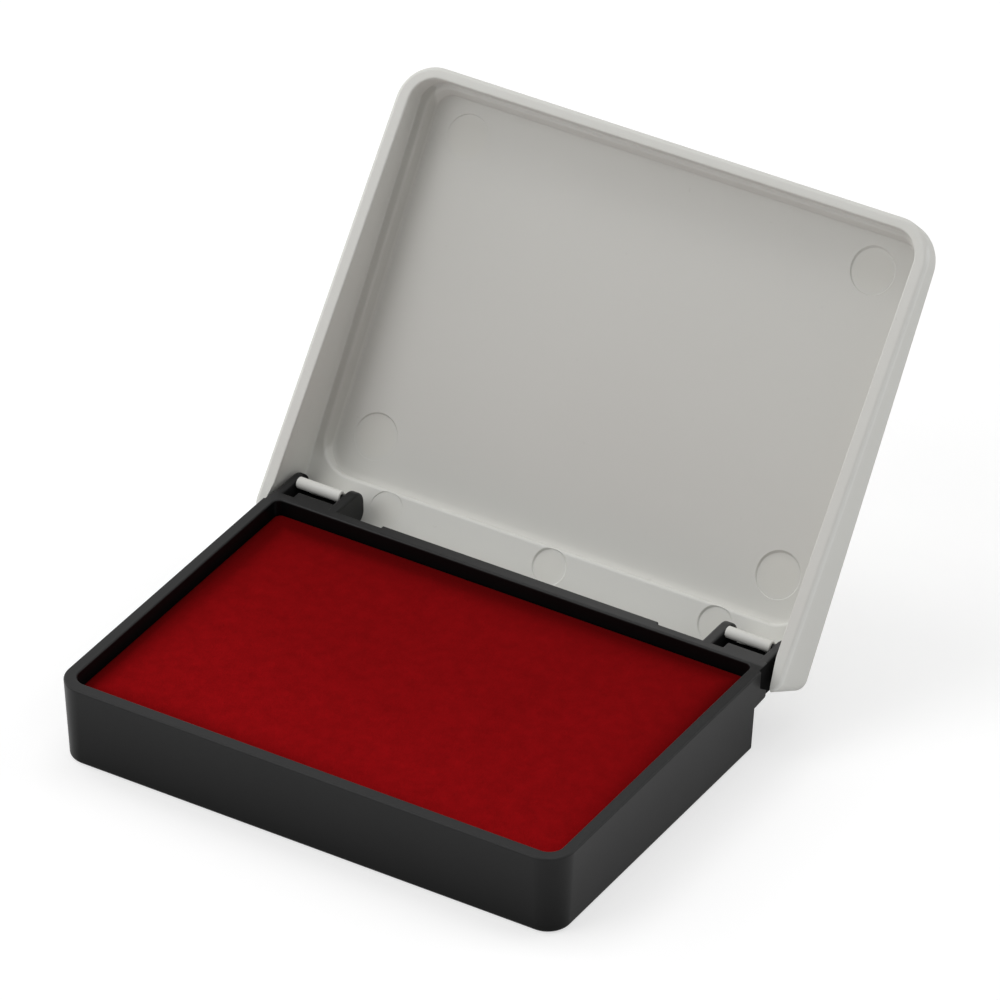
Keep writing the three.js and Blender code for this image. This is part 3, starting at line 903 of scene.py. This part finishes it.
# Slab with rounded edges and sides that bulge by a half sine from foot to top
def slab(box, layer):
    z0, z1, edge, bulge = (layer[key] for key in ("foot", "top", "edge", "bulge"))
    rounds = edgeRound(edge, 5)
    levels = np.linspace(z0 + edge, z1 - edge, 7)
    swell = bulge * np.sin(np.pi * (levels - z0) / (z1 - z0))
    rings = [ringAt(box, inset + bulge, z0 + drop) for inset, drop in reversed(rounds)]
    rings += [ringAt(box, bulge - out, z) for z, out in zip(levels, swell)]
    rings += [ringAt(box, inset + bulge, z1 - drop) for inset, drop in rounds]
    return skin(rings)


def feltPad():
    piece = addMesh("feltPad", slab(mouthBox(pad["felt"]["gap"]), pad["felt"]))
    smooth(piece, 60)
    dress(piece, redFelt(), "tray", "red_felt", "felt_pad")


def inkFoam():
    gap = pad["foam"]["gap"]
    box = {**mouthBox(tray["wellInset"] + gap), "rear": tray["wellRear"] - gap}
    piece = addMesh("inkFoam", slab(box, pad["foam"]))
    smooth(piece, 60)
    dress(piece, redFoam(), "tray", "red_foam", "ink_foam")


# Soft boxes round the pad; the floor is lifted to white for the camera alone and keeps part of the shadow
studio = {
    "floorHalf": 4,
    "floorDrop": 0.00005,
    "aim": (0, 0.02, 0.02),
    "ambient": 0.2,
    "lift": 0.5,
    "mirrorLift": 0.2,
    "whiteFrom": 0.3,
    "whiteTo": 0.9,
    "liftStrength": 1.2,
    "lamps": {
        "topBack": {"place": (0, 0.45, 1.55), "size": 0.8, "power": 4.6},
        "leftTop": {"place": (-0.7, 0.1, 1.4), "size": 0.6, "power": 3.4},
        "left": {"place": (-1.5, 0, 0.6), "size": 0.9, "power": 5.2},
        "frontLeft": {"place": (-0.9, -0.9, 1.1), "size": 1.1, "power": 9.6},
        "right": {"place": (1.2, -0.6, 0.95), "size": 1.2, "power": 2.3},
        "rightBack": {"place": (1.1, 0.95, 0.9), "size": 1.2, "power": 6.5},
    },
}


def addStudio():
    half, low = studio["floorHalf"], -studio["floorDrop"]
    corners = [(-half, -half, low), (half, -half, low), (half, half, low), (-half, half, low)]
    mesh = bpy.data.meshes.new("floor")
    mesh.from_pydata(corners, [], [(0, 1, 2, 3)])
    floor = bpy.data.objects.new("floor", mesh)
    bpy.context.scene.collection.objects.link(floor)
    paint = Paint("floorWhite")
    camera = paint.node("ShaderNodeLightPath")
    mirror = Wire(paint, camera.socket.node.outputs["Is Glossy Ray"])
    far = paint.node("ShaderNodeVectorMath", {"operation": "LENGTH"}, {0: paint.place()}, output=1)
    away = paint.ramp(far, studio["whiteFrom"], studio["whiteTo"])
    seen = camera * (studio["lift"] + away * (1 - studio["lift"])) + mirror * studio["mirrorLift"]
    matte = paint.node("ShaderNodeBsdfDiffuse", {}, {"Color": (1, 1, 1)})
    glow = paint.node("ShaderNodeEmission", {}, {"Color": (1, 1, 1), "Strength": studio["liftStrength"]})
    mixed = paint.node("ShaderNodeMixShader", {}, {0: seen, 1: matte, 2: glow})
    paint.node("ShaderNodeOutputMaterial", {}, {"Surface": mixed})
    floor.data.materials.append(paint.material)
    for name, lamp in studio["lamps"].items():
        data = bpy.data.lights.new(name, "AREA")
        data.size = lamp["size"]
        data.energy = lamp["power"]
        light = bpy.data.objects.new(name, data)
        light.location = lamp["place"]
        toward = Vector(studio["aim"]) - light.location
        light.rotation_euler = toward.to_track_quat("-Z", "Y").to_euler()
        bpy.context.scene.collection.objects.link(light)
    world = bpy.data.worlds.new("studio")
    world.use_nodes = True
    bpy.context.scene.world = world
    sky = Paint("sky", world.node_tree)
    seen = sky.node("ShaderNodeLightPath")
    path = seen.socket.node
    for label in ("Is Glossy Ray", "Is Transmission Ray"):
        other = Wire(sky, path.outputs[label])
        seen = sky.node("ShaderNodeMath", {"operation": "MAXIMUM"}, {0: seen, 1: other})
    dim = sky.node("ShaderNodeBackground", {}, {"Color": (1, 1, 1), "Strength": studio["ambient"]})
    white = sky.node("ShaderNodeBackground", {}, {"Color": (1, 1, 1), "Strength": 1.0})
    both = sky.node("ShaderNodeMixShader", {}, {0: seen, 1: dim, 2: white})
    sky.node("ShaderNodeOutputWorld", {}, {"Surface": both})
    bpy.context.scene.view_settings.view_transform = "Standard"


addCamera()
addStudio()
trayShell()
greyFinish = greyPlastic()
lidShell(greyFinish)
hingeBars(greyFinish)
inkCloth()
feltPad()
inkFoam()
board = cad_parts["backing_board"]
board.data.materials.clear()
board.data.materials.append(greyBoard())
print("all pieces made")
